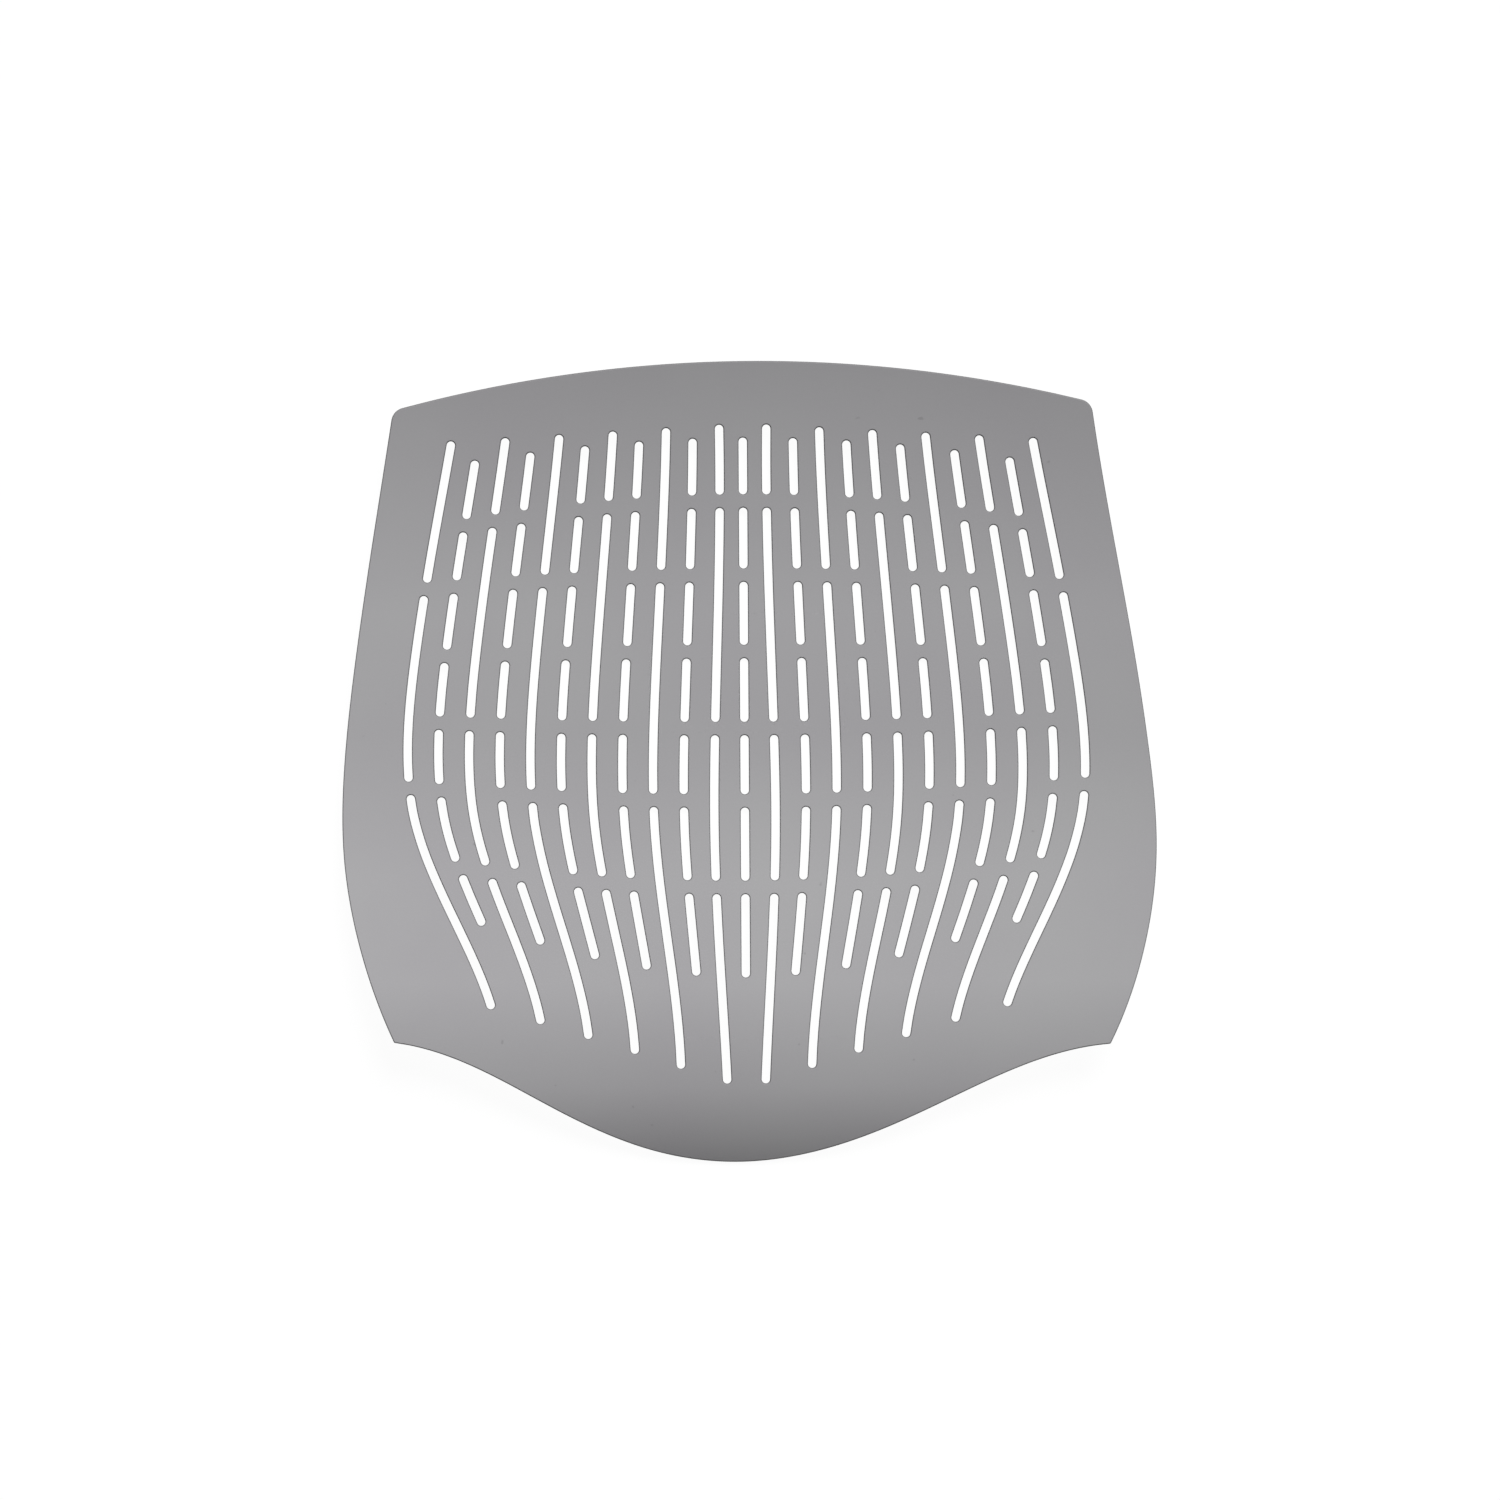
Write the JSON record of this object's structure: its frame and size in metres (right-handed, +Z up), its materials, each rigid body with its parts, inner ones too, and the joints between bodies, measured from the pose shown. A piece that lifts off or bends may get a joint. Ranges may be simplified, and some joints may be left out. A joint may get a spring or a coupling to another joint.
{
  "type": "queen excluder",
  "caption": "Thin dished metal sheet with flowing columns of long and short slots, an arched edge and a turned-down lobe; a beehive grid that passes worker bees and stops the queen.",
  "frame": {"origin": "on the surface the sheet rests on, below the middle of its outline", "axes": "+Z up out of the dish, +Y towards the arched edge, -Y towards the turned-down lobe, X across the sheet, whose dish is symmetrical about X = 0"},
  "size_m": [0.4069, 0.4008, 0.0249],
  "materials": {
    "satin_sheet_metal": "satin grey, finely matt, with soft rounded edges"
  },
  "bodies": {
    "root": {"excluder_sheet": "satin_sheet_metal"}
  },
  "joints": []
}
